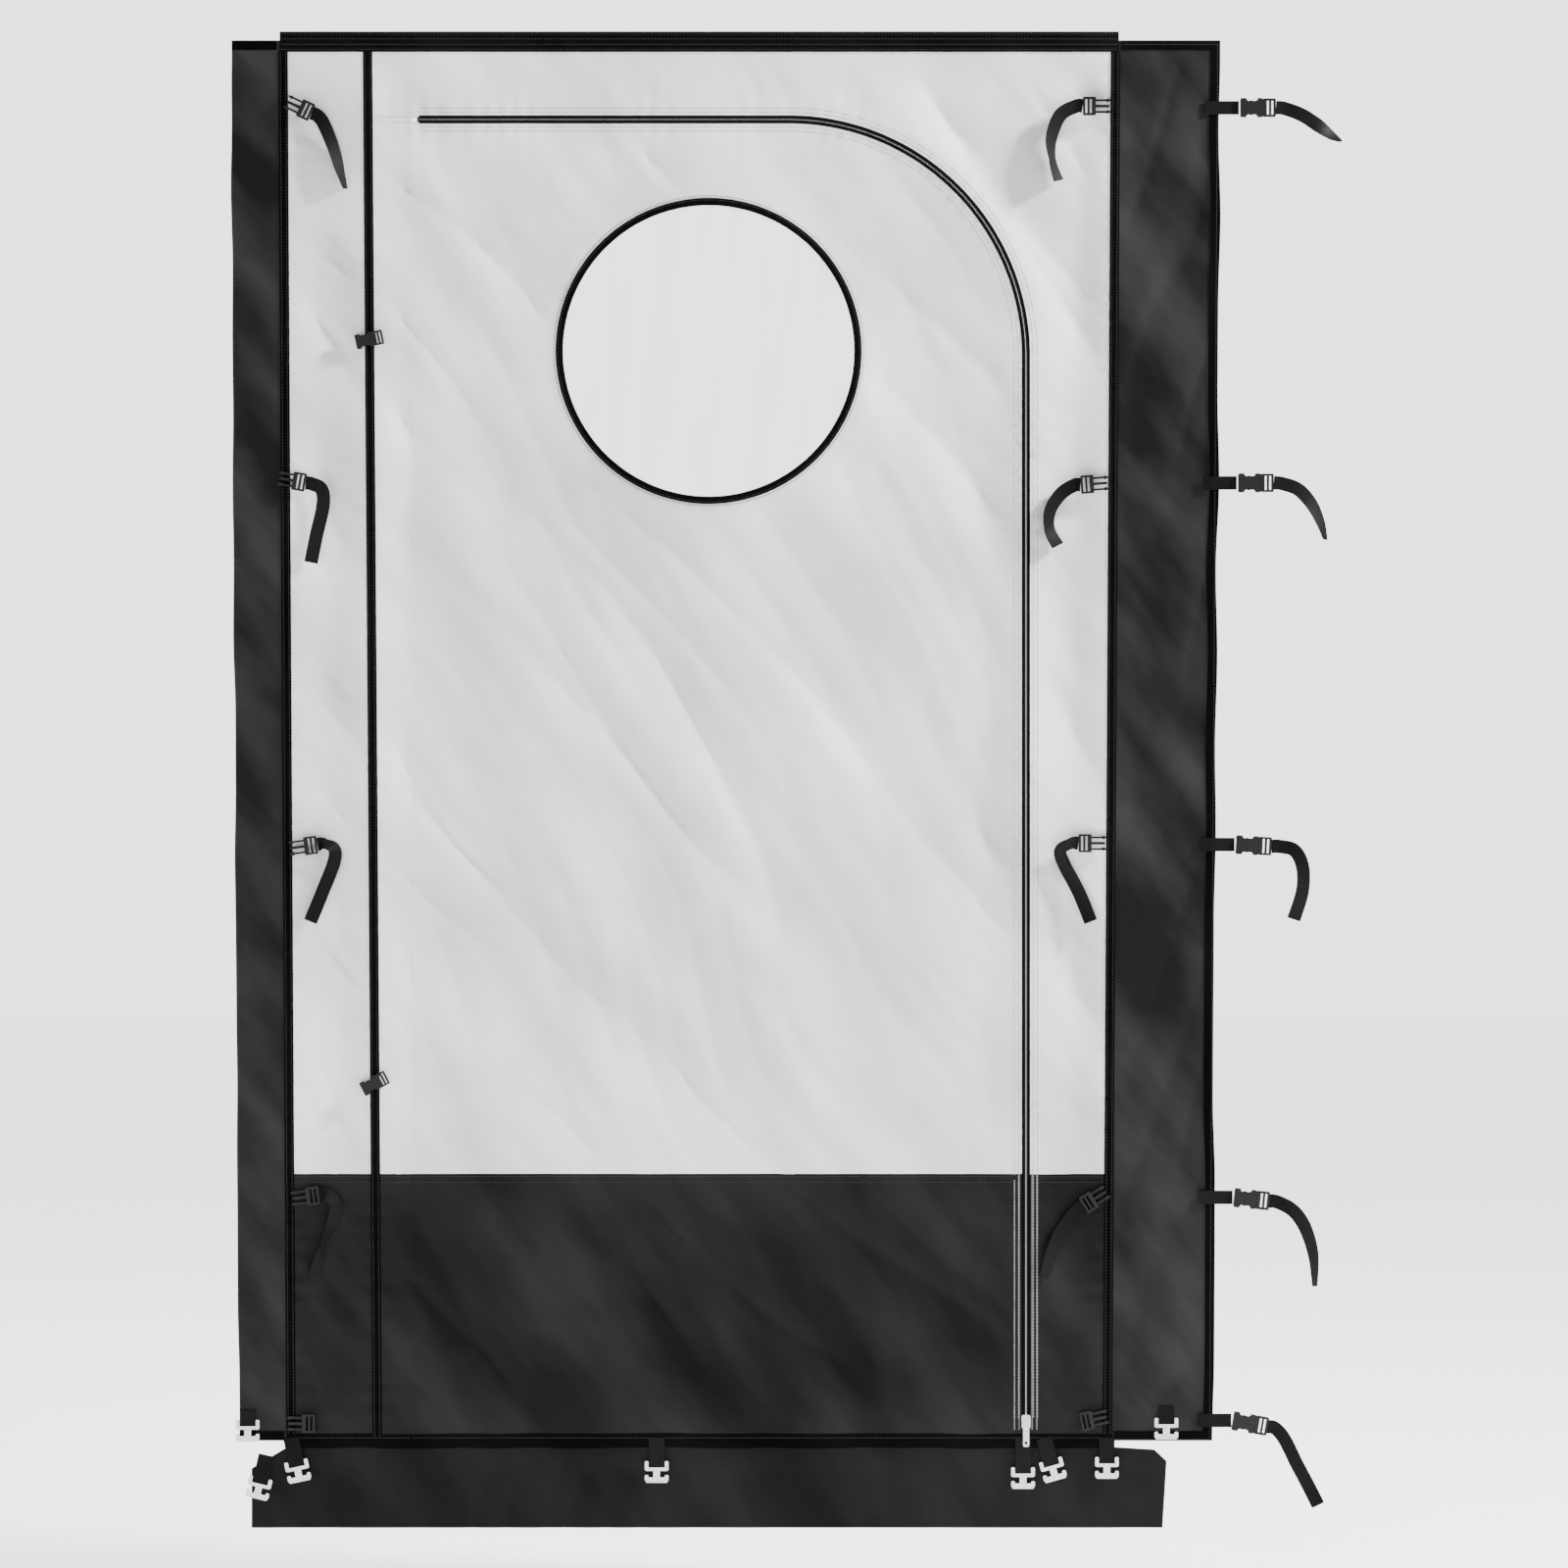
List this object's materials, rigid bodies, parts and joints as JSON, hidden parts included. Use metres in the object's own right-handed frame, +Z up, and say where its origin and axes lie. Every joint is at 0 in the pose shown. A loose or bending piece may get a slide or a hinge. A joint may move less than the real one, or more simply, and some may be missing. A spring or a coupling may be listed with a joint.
{
  "type": "shelter door wall panel",
  "caption": "Hanging fabric door wall for a pop-up shelter: zipped door with round window, folding leg wings, buckled straps, hem hooks and a mud flap.",
  "frame": {"origin": "centre of the outer face of the top hem tape", "axes": "+X to the right seen from outside, +Z up, +Y through the wall to the inside"},
  "size_m": [1.649, 0.0255, 2.215],
  "materials": {
    "hem_tape": "woven band",
    "light_fabric": "satin coated polyester",
    "dark_fabric": "coated oxford polyester",
    "flap_fabric": "coated oxford polyester",
    "binding": "folded tape",
    "clear_film": "clear PVC film",
    "zip_tape": "woven zip tape",
    "zip_coil": "nylon coil",
    "webbing": "polypropylene webbing",
    "buckle": "moulded acetal",
    "hook_metal": "plated steel",
    "zip_metal": "plated zinc"
  },
  "bodies": {
    "panel": {"top_hem_tape": "hem_tape", "header_panel": "light_fabric", "hinge_side_panel": "light_fabric", "zip_side_panel": "light_fabric", "side_kick_panels": "dark_fabric", "left_seam_binding": "binding", "right_seam_binding": "binding", "door_edge_tape": "binding", "fixed_hems": "binding", "zip_tape_frame": "zip_tape", "zip_teeth_frame": "zip_coil", "seam_plugs": "buckle", "seam_tails": "webbing", "tie_sockets": "buckle", "panel_hook_tabs": "webbing"},
    "door": {"door_panel": "light_fabric", "door_kick_panel": "dark_fabric", "door_hem": "binding", "window_film": "clear_film", "window_binding": "binding", "zip_tape_door": "zip_tape", "zip_teeth_door": "zip_coil", "door_hook_tabs": "webbing"},
    "slider": {"zip_slider": "zip_metal"},
    "pull": {"zip_pull": "zip_metal"},
    "right_wing": {"right_wing_panel": "dark_fabric", "right_wing_binding": "binding", "right_edge_anchors": "webbing", "right_edge_sockets": "buckle", "right_wing_hook_tabs": "webbing"},
    "left_wing": {"left_wing_inner_panel": "dark_fabric", "left_wing_inner_binding": "binding", "left_wing_hook_tabs": "webbing"},
    "left_wing_outer": {"left_wing_outer_panel": "dark_fabric", "left_wing_outer_binding": "binding", "left_edge_sockets": "buckle", "left_edge_plugs": "buckle", "left_edge_tails": "webbing"},
    "flap": {"mud_flap": "flap_fabric", "flap_hook_tabs": "webbing"},
    "upper_tie": {"upper_tie_plug": "buckle"},
    "lower_tie": {"lower_tie_plug": "buckle"},
    "right_strap_1": {"right_edge_plug_1": "buckle", "right_edge_tail_1": "webbing"},
    "right_strap_2": {"right_edge_plug_2": "buckle", "right_edge_tail_2": "webbing"},
    "right_strap_3": {"right_edge_plug_3": "buckle", "right_edge_tail_3": "webbing"},
    "right_strap_4": {"right_edge_plug_4": "buckle", "right_edge_tail_4": "webbing"},
    "right_strap_5": {"right_edge_plug_5": "buckle", "right_edge_tail_5": "webbing"},
    "left_wing_hook": {"left_wing_hook": "hook_metal"},
    "left_corner_hook": {"left_corner_hook": "hook_metal"},
    "left_seam_hook": {"left_seam_hook": "hook_metal"},
    "door_middle_hook": {"door_middle_hook": "hook_metal"},
    "door_corner_hook": {"door_corner_hook": "hook_metal"},
    "zip_side_hook": {"zip_side_hook": "hook_metal"},
    "right_seam_hook": {"right_seam_hook": "hook_metal"},
    "right_wing_hook": {"right_wing_hook": "hook_metal"}
  },
  "joints": [
    {"name": "door_swing", "type": "hinge", "parent": "panel", "child": "door", "pos_m": [-0.424, 0.0004, -1], "axis": [0, 0, -1], "range_deg": [0, 150]},
    {"name": "zip_slide", "type": "slide", "parent": "door", "child": "slider", "axis": [0, 0, 1], "range_m": [0, 1.56]},
    {"name": "pull_flip", "type": "hinge", "parent": "slider", "child": "pull", "pos_m": [0.4835, -0.0024, -2.044], "axis": [-1, 0, 0], "range_deg": [0, 150]},
    {"name": "right_wing_fold", "type": "hinge", "parent": "panel", "child": "right_wing", "pos_m": [0.616, 0.002, 0], "axis": [0.0058, 0, 1], "range_deg": [0, 110]},
    {"name": "left_wing_fold", "type": "hinge", "parent": "panel", "child": "left_wing", "pos_m": [-0.616, 0.002, 0], "axis": [0.0058, 0, -1], "range_deg": [0, 80]},
    {"name": "left_wing_unfold", "type": "hinge", "parent": "left_wing", "child": "left_wing_outer", "pos_m": [-0.692, 0.004, 0], "axis": [-0.0058, 0, 1], "range_deg": [0, 170]},
    {"name": "flap_swing", "type": "hinge", "parent": "panel", "child": "flap", "pos_m": [0, 0.0066, -2.071], "axis": [1, 0, 0], "range_deg": [0, 80]},
    {"name": "right_strap_release_1", "type": "slide", "parent": "right_wing", "child": "right_strap_1", "axis": [1, 0, 0], "range_m": [0, 0.03]},
    {"name": "right_strap_release_2", "type": "slide", "parent": "right_wing", "child": "right_strap_2", "axis": [1, 0, 0], "range_m": [0, 0.03]},
    {"name": "right_strap_release_3", "type": "slide", "parent": "right_wing", "child": "right_strap_3", "axis": [0.9986, 0, -0.0523], "range_m": [0, 0.03]},
    {"name": "right_strap_release_4", "type": "slide", "parent": "right_wing", "child": "right_strap_4", "axis": [0.9945, 0, -0.1045], "range_m": [0, 0.03]},
    {"name": "right_strap_release_5", "type": "slide", "parent": "right_wing", "child": "right_strap_5", "axis": [0.9848, 0, -0.1736], "range_m": [0, 0.03]},
    {"name": "upper_tie_release", "type": "slide", "parent": "panel", "child": "upper_tie", "axis": [0.9781, 0, 0.2079], "range_m": [0, 0.022]},
    {"name": "lower_tie_release", "type": "slide", "parent": "panel", "child": "lower_tie", "axis": [0.8829, 0, 0.4695], "range_m": [0, 0.022]},
    {"name": "left_wing_hook_swing", "type": "hinge", "parent": "left_wing", "child": "left_wing_hook", "pos_m": [-0.668, -0.0024, -2.039], "axis": [-1, 0, 0], "range_deg": [0, 70]},
    {"name": "left_corner_hook_swing", "type": "hinge", "parent": "flap", "child": "left_corner_hook", "pos_m": [-0.64865, 0.0032, -2.12513], "axis": [-0.9744, 0, 0.225], "range_deg": [0, 70]},
    {"name": "left_seam_hook_swing", "type": "hinge", "parent": "panel", "child": "left_seam_hook", "pos_m": [-0.59693, -0.0024, -2.09926], "axis": [-0.9781, 0, -0.2079], "range_deg": [0, 70]},
    {"name": "door_middle_hook_swing", "type": "hinge", "parent": "door", "child": "door_middle_hook", "pos_m": [-0.063, -0.0024, -2.1], "axis": [-1, 0, 0], "range_deg": [0, 70]},
    {"name": "door_corner_hook_swing", "type": "hinge", "parent": "door", "child": "door_corner_hook", "pos_m": [0.479, -0.0024, -2.109], "axis": [-1, 0, 0], "range_deg": [0, 70]},
    {"name": "zip_side_hook_swing", "type": "hinge", "parent": "panel", "child": "zip_side_hook", "pos_m": [0.5191, -0.0024, -2.09772], "axis": [-0.9613, 0, -0.2756], "range_deg": [0, 70]},
    {"name": "right_seam_hook_swing", "type": "hinge", "parent": "panel", "child": "right_seam_hook", "pos_m": [0.603, -0.0024, -2.094], "axis": [-1, 0, 0], "range_deg": [0, 70]},
    {"name": "right_wing_hook_swing", "type": "hinge", "parent": "right_wing", "child": "right_wing_hook", "pos_m": [0.691, -0.0024, -2.036], "axis": [-1, 0, 0], "range_deg": [0, 70]}
  ]
}
